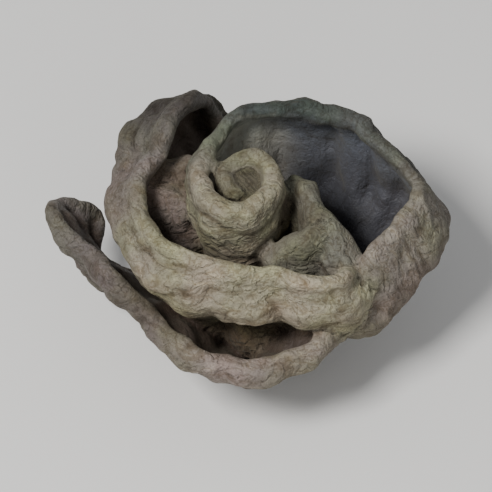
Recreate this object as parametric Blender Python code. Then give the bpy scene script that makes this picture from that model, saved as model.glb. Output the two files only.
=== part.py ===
"""A dried wood ear mushroom: one ear of thin flesh that has curled up into the shape of a rose.

Everything is in millimetres until the mesh is made, +Z up. The ear stands on the flat cut where its foot
was parted from the wood. +X is the right-hand side of the rose and -Y is its front.
"""

import math

import bmesh
import bpy
import numpy as np
from mathutils import Vector, noise

MM = 0.001

# The foot that was cut from the wood, with the core that the lobes grow out of, and the middle of the
# heart: height and radius of each, from the bottom to the top.
FOOT_RADII = [
    (-1.0, 3.3),
    (0.0, 3.3),
    (1.0, 3.5),
    (2.0, 4.2),
    (3.1, 5.1),
    (4.3, 5.5),
    (5.5, 5.0),
    (6.9, 2.2),
]
FOOT_CENTRE = (0.0, 0.0)
FOOT_FLUTES = 0.5
HEART_RADII = [(6.0, 1.8), (9.0, 1.8), (11.3, 1.8), (12.3, 1.6), (12.8, 1.0), (12.95, 0.3)]
HEART_MIDDLE = (-0.5, 0.9)
HEART_CENTRE = (-0.5, 0.6)

# The flesh: how thick it is, and how much thicker along its rounded margin.
FLESH = 0.85
MARGIN_SWELL = 0.2
HEART_FLESH = 0.8
TONGUE_FLESH = (1.0, 2.2)
SADDLE_FLESH = 2.4
SILL_FLESH = 1.7
TUCK_FLESH = 2.0

# Seed of the slow field that bends the whole ear.
BEND_SEED = 9

# How finely the lobes are laid out and fused, and the triangles in the finished ear, before the cut.
SPACING = 0.5
ROWS_UP = 26
FUSE_VOXEL = 0.22
FACETS = 9300

# The heart is the start of the scroll: it winds outwards from START to END, clockwise from above. Its
# front leans back over the middle, and its back bulges towards the far rim.
HEART_TURNS = 1.25
HEART_START = 0.5
HEART_END = 2.4
HEART_LEAN = 0.3
HEART_BULGE = 0.85
HEART_BULGE_AT = math.radians(75)
HEART_HEIGHTS = (12.9, 14.2)
HEART_SHOULDER = 1.7
HEART_STATIONS = 13

# Each row is one place along the margin of a lobe, seen from above: x, y and z of the margin, then how
# far the shoulder stands outside it and how far below it.
CHEEK = [
    (-2.9, 0.9, 14.0, 0.4, 1.8),
    (-2.6, 2.8, 13.8, 0.5, 2.2),
    (-1.2, 4.8, 13.5, 0.8, 2.5),
    (1.0, 6.1, 13.2, 1.0, 2.8),
    (3.5, 6.2, 13.0, 1.1, 3.0),
    (6.1, 5.4, 12.8, 1.1, 3.2),
    (8.3, 4.0, 12.5, 1.0, 3.4),
    (9.7, 2.1, 12.3, 0.9, 3.5),
    (9.4, 0.4, 12.2, 1.4, 3.6),
    (8.1, -0.7, 12.0, 2.0, 3.8),
    (6.6, -2.1, 11.5, 2.0, 3.8),
    (5.4, -3.4, 10.8, 1.6, 3.6),
    (3.6, -3.7, 10.0, 1.0, 3.2),
]
BAND = [
    (0.2, 8.4, 6.8, 0.3, 1.6),
    (-1.5, 9.0, 8.4, 0.6, 1.9),
    (-2.4, 9.0, 10.4, 0.9, 2.2),
    (-2.8, 8.4, 12.5, 1.3, 2.5),
    (-3.2, 7.2, 13.5, 2.3, 2.7),
    (-4.2, 5.0, 13.3, 2.6, 2.8),
    (-5.6, 2.4, 13.0, 2.3, 2.6),
    (-6.2, -0.8, 12.8, 1.6, 2.4),
    (-4.7, -3.3, 12.5, 1.5, 2.3),
    (-1.8, -4.4, 12.3, 1.8, 2.4),
    (1.2, -4.6, 12.2, 1.9, 2.5),
    (3.2, -4.8, 12.2, 1.7, 2.4),
    (4.4, -4.7, 11.9, 1.3, 2.3),
    (5.0, -3.9, 11.1, 0.8, 1.9),
    (5.1, -3.0, 9.9, 0.4, 1.6),
]
TONGUE = [
    (3.0, 3.7, 9.0, 0.3, 1.0),
    (3.3, 2.6, 10.9, 0.3, 1.0),
    (3.7, 1.5, 11.9, 0.4, 1.0),
    (4.2, 0.3, 12.0, 0.7, 1.0),
    (4.9, -0.9, 11.7, 0.8, 1.0),
    (5.5, -2.0, 11.3, 0.8, 1.0),
    (6.0, -3.0, 10.6, 0.6, 1.0),
]
SADDLE = [
    (-6.9, 3.6, 11.5, 0.3, 0.8),
    (-5.9, 3.0, 11.0, 0.5, 0.8),
    (-4.9, 2.5, 10.8, 0.6, 0.8),
    (-3.9, 2.1, 10.9, 0.5, 0.8),
    (-2.9, 1.8, 11.3, 0.3, 0.8),
]
SILL = [
    (0.6, -2.5, 10.3, 0.2, 0.6),
    (1.6, -2.2, 10.8, 0.3, 0.6),
    (2.6, -1.7, 11.1, 0.3, 0.6),
    (3.6, -1.1, 11.3, 0.3, 0.6),
    (4.5, -0.5, 11.5, 0.3, 0.6),
]
TUCK = [
    (-6.2, 4.3, 11.3, 0.2, 0.6),
    (-5.2, 4.2, 11.1, 0.3, 0.6),
    (-4.2, 4.4, 11.2, 0.3, 0.6),
    (-3.1, 4.7, 11.6, 0.2, 0.6),
]
LIP = [
    (-8.8, 3.8, 5.4, 0.1, 0.6),
    (-10.2, 3.5, 6.9, 0.1, 0.6),
    (-11.3, 2.6, 8.5, 0.1, 0.7),
    (-11.7, 1.4, 9.6, 0.2, 0.8),
    (-10.9, 0.2, 9.8, 0.2, 0.9),
    (-9.6, -1.3, 9.6, 0.3, 0.9),
    (-8.2, -3.0, 9.4, 0.3, 1.0),
    (-6.4, -5.2, 8.8, 0.4, 1.1),
    (-4.3, -7.2, 8.2, 0.4, 1.2),
    (-2.0, -8.2, 8.0, 0.4, 1.2),
    (0.4, -8.3, 8.0, 0.4, 1.2),
    (2.4, -7.5, 8.2, 0.3, 1.2),
    (3.4, -6.2, 8.0, 0.2, 1.2),
    (4.0, -5.0, 7.2, 0.2, 1.2),
]


def between(stations, at):
    """Stations read at the numbers in at, on a smooth curve that passes through each station."""
    stations = np.asarray(stations, float)
    slopes = np.gradient(stations, axis=0)
    i = np.clip(np.asarray(at).astype(int), 0, len(stations) - 2)
    t = (at - i).reshape(-1, *[1] * (stations.ndim - 1))
    return (
        (2 * t**3 - 3 * t**2 + 1) * stations[i]
        + (t**3 - 2 * t**2 + t) * slopes[i]
        + (3 * t**2 - 2 * t**3) * stations[i + 1]
        + (t**3 - t**2) * slopes[i + 1]
    )


def evenly(rows, spacing):
    """Rows that follow a smooth curve through the given ones, evenly spaced, and the distance along it."""
    fine = between(rows, np.linspace(0, len(rows) - 1, 60 * len(rows)))
    gone = np.linalg.norm(np.diff(fine[:, :3], axis=0), axis=1)
    gone = np.concatenate([[0.0], np.cumsum(gone)])
    at = np.linspace(0.0, gone[-1], max(8, round(gone[-1] / spacing)))
    return np.stack([np.interp(at, gone, column) for column in fine.T], axis=1), at


def outward(line):
    """Unit normals of a line, level with the ground, on its left-hand side."""
    along = np.gradient(line[:, :2], axis=0)
    along /= np.linalg.norm(along, axis=1)[:, None]
    return np.stack([-along[:, 1], along[:, 0], np.zeros(len(line))], axis=1)


def normals(points):
    """Unit normals of a sheet."""
    found = np.cross(np.gradient(points, axis=1), np.gradient(points, axis=0))
    return found / (np.linalg.norm(found, axis=2)[..., None] + 1e-12)


def scroll_rows():
    """The heart's turns, and then the cheek that they open into."""
    rows = []
    low, high = HEART_HEIGHTS
    for k in range(HEART_STATIONS):
        t = k / HEART_STATIONS
        angle = math.radians(180) + (1 - t) * HEART_TURNS * math.tau
        lean = HEART_LEAN * t * max(0.0, -math.sin(angle))
        bulge = HEART_BULGE * max(0.0, math.cos(angle - HEART_BULGE_AT))
        radius = HEART_START + (HEART_END - HEART_START) * t - lean + bulge
        x = HEART_CENTRE[0] + radius * math.cos(angle)
        y = HEART_CENTRE[1] + radius * math.sin(angle)
        rows.append((x, y, low + (high - low) * t, 0.1 + 0.35 * t + lean, HEART_SHOULDER))
    return rows + CHEEK


def rounding(distance, drop, width):
    """How far the margin falls near one end of a lobe, as a share of the lobe's height."""
    near = np.clip(1.0 - distance / width, 0.0, 1.0)
    return drop * (1.0 - np.sqrt(1.0 - near**2))


def lobe(
    rows, spacing, n_up, side, belly, wander, base, pleat, creases, seed,
    calm=0.0, end=(0.0, 1.0), groove=0.0,
):
    """(middle surface, distance along it) of a lobe; the surface is n_up by its length by 3, foot first.

    side says on which side of the rows its outside is. belly is how far out the belly stands from the
    shoulder and its share of the shoulder's height, and wander how far it is dented in. base is the share
    of the reach and the height where it leaves the core. pleat is the depth of its soft pleats and creases
    that of the sharp ones low down, whose pattern seed chooses; calm is the length at its start that has
    hardly any, and no belly. end is the drop and width of the rounding at its far end, and groove the
    depth of the groove below its margin.
    """
    line, gone = evenly(rows, spacing)
    margin = line[:, :3]
    out = outward(margin) * side
    shoulder = margin + out * line[:, 3:4]
    shoulder[:, 2] -= line[:, 4]
    centre = np.array([*FOOT_CENTRE, 0.0])
    reach = shoulder - centre
    reach[:, 2] = 0.0
    waves = np.array([noise.noise(Vector((s * 0.16, 9.3, seed[0]))) for s in gone])
    waking = np.clip((gone - calm) / 3.0, 0.0, 1.0)
    stands = belly[0] * (waking if calm else 1.0) - wander * waking * np.maximum(waves, 0.0)
    middle = shoulder + out * stands[:, None]
    middle[:, 2] = shoulder[:, 2] * belly[1]
    leaving = centre + reach * base[0]
    leaving[:, 2] = base[1]
    root = centre + reach * 0.16
    root[:, 2] = base[1] - 1.2
    stations = np.stack([root, leaving, middle, shoulder, margin])
    top = 1.0 - rounding(gone[-1] - gone, *end)
    up = np.sin(np.linspace(0.0, math.pi / 2, n_up))
    points = np.stack([between(stations[:, c], up * top[c] * 4) for c in range(len(line))], axis=1)
    depth = np.empty(points.shape[:2])
    for r, v in enumerate(up):
        low = min(1.0, 5.0 * v) * min(1.0, max(0.0, (0.92 - v) / 0.4))
        for c, s in enumerate(gone):
            fold = noise.noise(Vector((s * 0.42, v * 1.6, 0.37 + seed[0])))
            ruffle = noise.noise(Vector((s * 0.30, v * 0.8, 5.11 + seed[1]))) * max(0.0, v - 0.55)
            wrinkle = abs(noise.noise(Vector((s * 0.45 + v * 0.9, v * 1.1, 2.73 + seed[0]))))
            depth[r, c] = pleat * (1.1 * fold + 2.9 * ruffle) + creases * low * (4.0 * wrinkle - 0.8)
    depth *= np.where(gone < calm, 0.25, 1.0)
    normal = normals(points)
    normal *= np.sign(np.einsum("rck,ck->", normal, out))
    points += normal * depth[..., None]
    sunk = groove * np.exp(-(((up - 0.87) / 0.055) ** 2))
    return points - out[None] * sunk[:, None, None], gone


def warped(points):
    """The points moved a little by a field that varies slowly, as no ear dries evenly."""
    moved = np.empty_like(points)
    flat = points.reshape(-1, 3)
    out = moved.reshape(-1, 3)
    for k, p in enumerate(flat):
        wide = noise.noise_vector(Vector(p) * 0.13 + Vector((3.204, 7.622, 1.3)))
        near = noise.noise_vector(Vector(p) * 0.33 + Vector((9.364, 2.502, 5.3)))
        out[k] = p + np.array(wide) * 0.8 + np.array(near) * 0.4
    return moved


def thick(points, flesh):
    """(vertices, faces) of a closed sheet about the points, with round edges.

    flesh is its thickness along its length.
    """
    steps = np.linalg.norm(np.diff(points, axis=0, append=points[-1:]), axis=2)
    below = steps[::-1].cumsum(axis=0)[::-1]
    along = np.linalg.norm(np.diff(points, axis=1, prepend=points[:, :1]), axis=2).cumsum(axis=1)
    inside = np.minimum(below, np.minimum(along, along[:, -1:] - along))
    swell = 1.0 + MARGIN_SWELL * np.clip(1.6 - below / 1.6, 0.0, 1.0)
    half = flesh[None] * swell / 2
    half = half * np.sqrt(1.0 - np.clip(1.0 - inside / half, 0.0, 1.0) ** 2)
    half = normals(points) * half[..., None]
    rows, columns = points.shape[:2]
    vertices = np.concatenate([(points + half).reshape(-1, 3), (points - half).reshape(-1, 3)])
    n = rows * columns
    at = np.arange(n).reshape(rows, columns)
    a, b, c, d = at[:-1, :-1], at[:-1, 1:], at[1:, 1:], at[1:, :-1]
    front = np.stack([a, b, c, d], axis=-1).reshape(-1, 4)
    back = np.stack([a, d, c, b], axis=-1).reshape(-1, 4) + n
    edge = np.concatenate([at[0, :-1], at[:-1, -1], at[-1, :0:-1], at[:0:-1, 0]])
    following = np.roll(edge, -1)
    rim = np.stack([following, edge, edge + n, following + n], axis=-1)
    return vertices, np.concatenate([front, back, rim])


def turned(radii, centre, flutes):
    """(vertices, faces) of a fluted column of those heights and radii."""
    sides = 48
    profile = between(np.array(radii), np.linspace(0, len(radii) - 1, 24))
    angles = np.arange(sides) / sides * math.tau
    rings = []
    for z, radius in profile:
        ribs = [noise.noise(Vector((1.5 * math.cos(a), 1.5 * math.sin(a), 0.12 * z + 4.2))) for a in angles]
        fluted = radius * (1.0 + flutes * np.array(ribs))
        x = centre[0] + fluted * np.cos(angles)
        y = centre[1] + fluted * np.sin(angles)
        rings.append(np.stack([x, y, np.full(sides, z)], axis=1))
    faces = []
    for k in range(len(rings) - 1):
        for j in range(sides):
            a, b = k * sides + j, k * sides + (j + 1) % sides
            faces.append((a, b, b + sides, a + sides))
    faces.append(tuple(range(sides - 1, -1, -1)))
    faces.append(tuple(range((len(rings) - 1) * sides, len(rings) * sides)))
    return np.concatenate(rings), faces


def add_object(name, pieces):
    vertices, faces = [], []
    for points, quads in pieces:
        faces += [tuple(int(i) + len(vertices) for i in q) for q in quads]
        vertices += [Vector(p) * MM for p in points]
    mesh = bpy.data.meshes.new(name)
    mesh.from_pydata(vertices, [], faces)
    obj = bpy.data.objects.new(name, mesh)
    bpy.context.scene.collection.objects.link(obj)
    return obj


def add_block(name, x, y, z):
    """A cutter that isn't part of the ear."""
    corners = [(i, j, k) for k in z for j in y for i in x]
    quads = [(0, 2, 3, 1), (4, 5, 7, 6), (0, 1, 5, 4), (2, 6, 7, 3), (0, 4, 6, 2), (1, 3, 7, 5)]
    block = add_object(name, [(corners, quads)])
    block.hide_render = True
    block.display_type = "WIRE"
    return block


def lobes(spacing, n_up):
    """The lobes' middle surfaces, each with the thickness of its flesh along its length."""
    scroll, gone = lobe(
        scroll_rows(), spacing, n_up, side=1, belly=(-1.3, 0.58), wander=3.0, base=(0.42, 3.0),
        pleat=0.4, creases=0.55, seed=(0.28, -0.15), calm=12.0, end=(0.2, 3.0),
    )
    band, band_gone = lobe(
        BAND, spacing, n_up, side=-1, belly=(-1.7, 0.6), wander=3.0, base=(0.42, 2.5),
        pleat=0.32, creases=0.4, seed=(1.2, 7.0), groove=0.8,
    )
    tongue, tongue_gone = lobe(
        TONGUE, spacing, n_up, side=-1, belly=(1.0, 0.7), wander=0.0, base=(0.6, 6.0),
        pleat=0.2, creases=0.1, seed=(4.2, 2.6),
    )
    saddle, saddle_gone = lobe(
        SADDLE, spacing, n_up, side=-1, belly=(0.7, 0.7), wander=0.0, base=(0.6, 5.0),
        pleat=0.15, creases=0.1, seed=(6.4, 1.7),
    )
    lip, lip_gone = lobe(
        LIP, spacing, n_up, side=-1, belly=(-2.3, 0.66), wander=1.8, base=(0.42, 2.3),
        pleat=0.2, creases=0.3, seed=(-12.0, 3.9),
    )
    sill, sill_gone = lobe(
        SILL, spacing, n_up, side=-1, belly=(0.4, 0.7), wander=0.0, base=(0.6, 6.0),
        pleat=0.1, creases=0.1, seed=(8.3, 5.1),
    )
    tuck, tuck_gone = lobe(
        TUCK, spacing, n_up, side=-1, belly=(0.4, 0.7), wander=0.0, base=(0.6, 5.0),
        pleat=0.15, creases=0.1, seed=(2.7, 9.4),
    )
    easing = np.clip((gone - 8.0) / 6.0, 0.0, 1.0)
    return [
        (scroll, HEART_FLESH + (FLESH - HEART_FLESH) * easing),
        (band, np.full(len(band_gone), FLESH)),
        (tongue, np.linspace(*TONGUE_FLESH, len(tongue_gone))),
        (saddle, np.full(len(saddle_gone), SADDLE_FLESH)),
        (lip, np.full(len(lip_gone), FLESH)),
        (sill, np.full(len(sill_gone), SILL_FLESH)),
        (tuck, np.full(len(tuck_gone), TUCK_FLESH)),
    ]


def largest_shell(obj):
    """Drops every shell of the object's mesh but the one with the most vertices."""
    work = bmesh.new()
    work.from_mesh(obj.data)
    left = set(work.verts)
    shells = []
    while left:
        shell = [left.pop()]
        for vertex in shell:
            for edge in vertex.link_edges:
                other = edge.other_vert(vertex)
                if other in left:
                    left.remove(other)
                    shell.append(other)
        shells.append(shell)
    shells.sort(key=len)
    for shell in shells[:-1]:
        bmesh.ops.delete(work, geom=shell, context="VERTS")
    work.to_mesh(obj.data)
    work.free()


def settle(obj):
    """Replaces the object's mesh by what its modifiers make of it."""
    graph = bpy.context.evaluated_depsgraph_get()
    obj.data = bpy.data.meshes.new_from_object(obj.evaluated_get(graph))
    obj.modifiers.clear()


def flesh_material():
    """Dull, downy, olive-grey flesh."""
    material = bpy.data.materials.new("dried flesh")
    material.use_nodes = True
    surface = material.node_tree.nodes["Principled BSDF"]
    surface.inputs["Base Color"].default_value = (0.215, 0.190, 0.145, 1.0)
    surface.inputs["Roughness"].default_value = 0.85
    surface.inputs["Metallic"].default_value = 0.0
    return material


def main():
    for old in list(bpy.data.objects):
        bpy.data.objects.remove(old)
    noise.seed_set(BEND_SEED)
    pieces = [thick(warped(points), flesh) for points, flesh in lobes(SPACING, ROWS_UP)]
    pieces.append(turned(FOOT_RADII, FOOT_CENTRE, FOOT_FLUTES))
    pieces.append(turned(HEART_RADII, HEART_MIDDLE, 0.0))
    ear = add_object("wood_ear", pieces)
    fuse = ear.modifiers.new("fuse", "REMESH")
    fuse.mode = "VOXEL"
    fuse.voxel_size = FUSE_VOXEL * MM
    soften = ear.modifiers.new("soften", "SMOOTH")
    soften.factor = 0.5
    soften.iterations = 6
    settle(ear)
    largest_shell(ear)
    facet = ear.modifiers.new("facet", "DECIMATE")
    facet.ratio = FACETS / (2 * len(ear.data.polygons))
    wood = add_block("wood", (-20, 20), (-20, 20), (-10, 0))
    part = ear.modifiers.new("part", "BOOLEAN")
    part.operation = "DIFFERENCE"
    part.solver = "EXACT"
    part.object = wood
    for polygon in ear.data.polygons:
        polygon.use_smooth = True
    ear.data.materials.append(flesh_material())


main()
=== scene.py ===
"""The looks of a dried wood ear mushroom: one ear curled up into a rose, downy outside and bare inside.

The ear is built again from the same lobes as its solid, at a finer grain, and gets its wrinkles, its down
and the colours of its two sides. Lengths are in millimetres until the mesh is made, +Z up.
"""

import math

import bmesh
import bpy
import numpy as np
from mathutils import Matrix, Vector, noise
from mathutils.bvhtree import BVHTree
from mathutils.kdtree import KDTree


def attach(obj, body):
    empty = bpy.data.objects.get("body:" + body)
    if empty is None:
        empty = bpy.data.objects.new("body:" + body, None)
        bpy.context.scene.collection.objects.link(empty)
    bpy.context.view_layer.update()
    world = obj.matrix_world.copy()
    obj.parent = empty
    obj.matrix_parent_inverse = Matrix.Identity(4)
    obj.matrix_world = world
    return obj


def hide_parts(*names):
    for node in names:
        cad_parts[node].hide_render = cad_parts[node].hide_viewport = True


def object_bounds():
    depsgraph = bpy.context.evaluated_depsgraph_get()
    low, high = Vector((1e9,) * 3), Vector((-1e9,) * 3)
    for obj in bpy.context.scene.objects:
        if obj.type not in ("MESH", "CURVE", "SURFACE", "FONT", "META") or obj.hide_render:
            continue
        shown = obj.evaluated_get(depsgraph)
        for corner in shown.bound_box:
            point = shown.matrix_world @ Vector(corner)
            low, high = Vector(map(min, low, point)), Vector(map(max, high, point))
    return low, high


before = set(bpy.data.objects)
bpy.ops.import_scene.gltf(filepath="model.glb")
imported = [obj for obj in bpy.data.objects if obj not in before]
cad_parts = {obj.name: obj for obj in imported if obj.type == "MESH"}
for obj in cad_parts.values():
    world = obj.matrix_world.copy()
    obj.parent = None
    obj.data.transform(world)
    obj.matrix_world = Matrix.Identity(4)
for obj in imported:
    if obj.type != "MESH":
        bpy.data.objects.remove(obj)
cad_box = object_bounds()

MM = 0.001

# The foot that was cut from the wood, with the core that the lobes grow out of, and the middle of the
# heart: height and radius of each, from the bottom to the top.
FOOT_RADII = [
    (-1.0, 3.3),
    (0.0, 3.3),
    (1.0, 3.5),
    (2.0, 4.2),
    (3.1, 5.1),
    (4.3, 5.5),
    (5.5, 5.0),
    (6.9, 2.2),
]
FOOT_CENTRE = (0.0, 0.0)
FOOT_FLUTES = 0.5
HEART_RADII = [(6.0, 1.8), (9.0, 1.8), (11.3, 1.8), (12.3, 1.6), (12.8, 1.0), (12.95, 0.3)]
HEART_MIDDLE = (-0.5, 0.9)

# The ribs of such a column: how fine they are round it and up it, and their place in the noise.
RIBS_ROUND = 1.5
RIBS_UP = 0.12
RIBS_PLACE = 4.2

# How thick the flesh is. The heart's thickness eases into that of the rest of its lobe, from one distance
# along it and over another.
FLESH = 0.85
HEART_FLESH = 0.8
EASING_FROM = 8.0
EASING_OVER = 6.0
TONGUE_FLESH = (1.0, 2.2)
SADDLE_FLESH = 2.4
SILL_FLESH = 1.7
TUCK_FLESH = 2.0

# How much thicker it is along its rounded margin, about how far down this reaches, how much it varies
# along the lobe and how fast, and the place of this in the noise, with how far apart the lobes lie there.
MARGIN_SWELL = 0.2
SWELL_REACH = 1.6
SWELL_VARIES = 0.5
SWELL_FINENESS = 0.22
SWELL_PLACE = 2.4
SWELL_APART = 5.7

# How finely the lobes' length is measured, how finely they and the columns are laid out and fused, and
# how much the fused skin is softened.
STEPS_PER_ROW = 60
SPACING = 0.35
FEWEST_COLUMNS = 8
ROWS_UP = 36
COLUMN_SIDES = 48
COLUMN_RINGS = 24
FUSE_VOXEL = 0.19
SOFTENING = 0.5
SOFTENING_ROUNDS = 5

# The heart is the start of the scroll: it winds outwards from START to END about its centre, clockwise
# from above, and ends at its left. Its front leans back over the middle, and its back bulges towards the
# far rim. Its shoulder stands out more the farther it has wound.
HEART_CENTRE = (-0.5, 0.6)
HEART_ENDS_AT = math.radians(180)
HEART_TURNS = 1.25
HEART_START = 0.5
HEART_END = 2.4
HEART_LEAN = 0.3
HEART_BULGE = 0.85
HEART_BULGE_AT = math.radians(75)
HEART_HEIGHTS = (12.9, 14.2)
HEART_SHOULDER = 1.7
HEART_SHOULDER_OUT = (0.1, 0.35)
HEART_STATIONS = 13

# Each row is one place along the margin of a lobe, seen from above: x, y and z of the margin, then how
# far the shoulder stands outside it and how far below it.
CHEEK = [
    (-2.9, 0.9, 14.0, 0.4, 1.8),
    (-2.6, 2.8, 13.8, 0.5, 2.2),
    (-1.2, 4.8, 13.5, 0.8, 2.5),
    (1.0, 6.1, 13.2, 1.0, 2.8),
    (3.5, 6.2, 13.0, 1.1, 3.0),
    (6.1, 5.4, 12.8, 1.1, 3.2),
    (8.3, 4.0, 12.5, 1.0, 3.4),
    (9.7, 2.1, 12.3, 0.9, 3.5),
    (9.4, 0.4, 12.2, 1.4, 3.6),
    (8.1, -0.7, 12.0, 2.0, 3.8),
    (6.6, -2.1, 11.5, 2.0, 3.8),
    (5.4, -3.4, 10.8, 1.6, 3.6),
    (3.6, -3.7, 10.0, 1.0, 3.2),
]
BAND = [
    (0.2, 8.4, 6.8, 0.3, 1.6),
    (-1.5, 9.0, 8.4, 0.6, 1.9),
    (-2.4, 9.0, 10.4, 0.9, 2.2),
    (-2.8, 8.4, 12.5, 1.3, 2.5),
    (-3.2, 7.2, 13.5, 2.3, 2.7),
    (-4.2, 5.0, 13.3, 2.6, 2.8),
    (-5.6, 2.4, 13.0, 2.3, 2.6),
    (-6.2, -0.8, 12.8, 1.6, 2.4),
    (-4.7, -3.3, 12.5, 1.5, 2.3),
    (-1.8, -4.4, 12.3, 1.8, 2.4),
    (1.2, -4.6, 12.2, 1.9, 2.5),
    (3.2, -4.8, 12.2, 1.7, 2.4),
    (4.4, -4.7, 11.9, 1.3, 2.3),
    (5.0, -3.9, 11.1, 0.8, 1.9),
    (5.1, -3.0, 9.9, 0.4, 1.6),
]
TONGUE = [
    (3.0, 3.7, 9.0, 0.3, 1.0),
    (3.3, 2.6, 10.9, 0.3, 1.0),
    (3.7, 1.5, 11.9, 0.4, 1.0),
    (4.2, 0.3, 12.0, 0.7, 1.0),
    (4.9, -0.9, 11.7, 0.8, 1.0),
    (5.5, -2.0, 11.3, 0.8, 1.0),
    (6.0, -3.0, 10.6, 0.6, 1.0),
]
SADDLE = [
    (-6.9, 3.6, 11.5, 0.3, 0.8),
    (-5.9, 3.0, 11.0, 0.5, 0.8),
    (-4.9, 2.5, 10.8, 0.6, 0.8),
    (-3.9, 2.1, 10.9, 0.5, 0.8),
    (-2.9, 1.8, 11.3, 0.3, 0.8),
]
SILL = [
    (0.6, -2.5, 10.3, 0.2, 0.6),
    (1.6, -2.2, 10.8, 0.3, 0.6),
    (2.6, -1.7, 11.1, 0.3, 0.6),
    (3.6, -1.1, 11.3, 0.3, 0.6),
    (4.5, -0.5, 11.5, 0.3, 0.6),
]
TUCK = [
    (-6.2, 4.3, 11.3, 0.2, 0.6),
    (-5.2, 4.2, 11.1, 0.3, 0.6),
    (-4.2, 4.4, 11.2, 0.3, 0.6),
    (-3.1, 4.7, 11.6, 0.2, 0.6),
]
LIP = [
    (-8.8, 3.8, 5.4, 0.1, 0.6),
    (-10.2, 3.5, 6.9, 0.1, 0.6),
    (-11.3, 2.6, 8.5, 0.1, 0.7),
    (-11.7, 1.4, 9.6, 0.2, 0.8),
    (-10.9, 0.2, 9.8, 0.2, 0.9),
    (-9.6, -1.3, 9.6, 0.3, 0.9),
    (-8.2, -3.0, 9.4, 0.3, 1.0),
    (-6.4, -5.2, 8.8, 0.4, 1.1),
    (-4.3, -7.2, 8.2, 0.4, 1.2),
    (-2.0, -8.2, 8.0, 0.4, 1.2),
    (0.4, -8.3, 8.0, 0.4, 1.2),
    (2.4, -7.5, 8.2, 0.3, 1.2),
    (3.4, -6.2, 8.0, 0.2, 1.2),
    (4.0, -5.0, 7.2, 0.2, 1.2),
]

# How a lobe leaves the core: its root lies this share of the way out to its shoulder, and this far below
# the place where it leaves.
ROOT_REACH = 0.16
ROOT_DROP = 1.2

# The dents in a lobe's belly: how fine they are, their place in the noise, and over what distance along
# the lobe they set in.
DENTS_FINENESS = 0.16
DENTS_PLACE = 9.3
DENTS_SET_IN_OVER = 3.0

# The pleats of a lobe. Folds and ruffles are soft, and creases are sharp. Each is noise, this fine along
# the lobe and up it, at this place. Ruffles begin at a share of the way up. Creases lie aslant, rise from
# the foot and fade out below the margin. Where the lobe is calm, this share of them all is left.
FOLDS = (0.42, 1.6, 0.37)
FOLD_DEPTH = 1.1
RUFFLES = (0.30, 0.8, 5.11)
RUFFLE_DEPTH = 2.9
RUFFLES_FROM = 0.55
CREASES = (0.45, 1.1, 2.73)
CREASES_SLANT = 0.9
CREASE_DEPTH = 4.0
CREASE_LEVEL = 0.8
CREASES_RISE = 5.0
CREASES_TOP = 0.92
CREASES_FADE = 0.4
CALM_PLEATS = 0.25

# Where the groove below a margin lies, as a share of the way up, and how wide it is.
GROOVE_AT = 0.87
GROOVE_WIDTH = 0.055

# The fields that bend the ear and crumple it, from the slowest to the finest: how fine each is, its place
# in the noise, and how far it moves the flesh. The solid has the first two. Their noise has this seed.
BEND_SEED = 9
CRUMPLES = [
    (0.13, (3.204, 7.622, 1.3), 0.8),
    (0.33, (9.364, 2.502, 5.3), 0.4),
    (0.75, (1.7, 4.4, 8.2), 0.25),
    (1.6, (6.1, 0.3, 2.9), 0.06),
]

# The long wrinkles of the outer skin, the broad ones and the fine: how fine they are across and along
# themselves, their place in the noise, and how deep they are. Those that lie along a lobe and those that
# lie up it have places of their own, which are added.
WRINKLES = [(0.5, 0.13, 0.0, 0.22), (1.2, 0.32, 6.4, 0.10)]
LYING_ALONG = 1.7
LYING_UP = 9.2

# What bends the wrinkles: how fine it is, its place in the noise, and how far it bends them and the
# crackle.
WARP_FINENESS = 0.4
WARP_PLACE = (5.5, 1.1, 7.3)
WARP = 1.5
CRACKLE_WARP = 0.6

# How far apart in the noise the wrinkles of two pieces lie, and the grain of their colours.
WRINKLES_APART = 40.0
GRAINS_APART = 7.0

# The crackle, the lumps, the veins of the inner side and the waves of the rim: how fine they are, their
# place in the noise and how deep they are. The inner side has a share of the crackle, and the rim takes
# over this near the margin. The bottom of a crease lies this share of its depth below the level.
CREASE_FLOOR = 0.35
CRACKLE_FINENESS = 0.9
CRACKLE = 0.07
INNER_CRACKLE = 0.3
LUMPS_FINENESS = 2.3
OUTER_LUMPS = 0.03
INNER_LUMPS = 0.015
RIM_LUMPS = 0.04
VEINS = (0.45, 0.2, 4.4)
VEIN_DEPTH = 0.08
RIM_FINENESS = 0.7
RIM_PLACE = 3.3
RIM_DEPTH = 0.10
RIM_WIDTH = 0.6

# The openness of each point, from which the flesh's painted shade in its crevices is drawn, comes from
# rays, this many and this long, which start this far off the skin and are turned by this angle from one
# to the next.
AO_RAYS = 16
AO_REACH = 8.0
AO_LIFT = 0.05
GOLDEN_ANGLE = 2.39996

# How many of the pieces' nearest points each point of the skin is read from, how fast their weight falls
# off, in spacings, and the least that it falls to.
NEAREST = 7
NEAR = 0.8
LEAST_WEIGHT = 1e-9

# How often each is averaged over the skin: what is read from the pieces, the openness, and the relief
# that a point's own relief is measured from.
FIELD_ROUNDS = 3
OPENNESS_ROUNDS = 2
RELIEF_ROUNDS = 12

# How far down from the margin the inner side takes on the outer colour.
RIM_REACH = 2.4

# The camera looks down on the ear from the front, as the photograph does. Its distance, how wide its view
# is there and the nearest that it sees are in metres, as are the floor and the lights below.
CAMERA_ELEVATION = math.radians(55)
CAMERA_DISTANCE = 0.30
CAMERA_VIEW = 0.029
CAMERA_NEAREST = 0.01

# The floor's half width, each light's place, size and power in watts, and the sky's colour and strength.
FLOOR_HALF = 0.6
KEY_LIGHT = ((-0.09, -0.08, 0.21), 0.06, 0.68)
FILL_LIGHT = ((0.10, -0.20, 0.14), 0.20, 0.11)
SKY = (0.92, 0.95, 1.0, 1.0)
SKY_STRENGTH = 0.40

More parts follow.
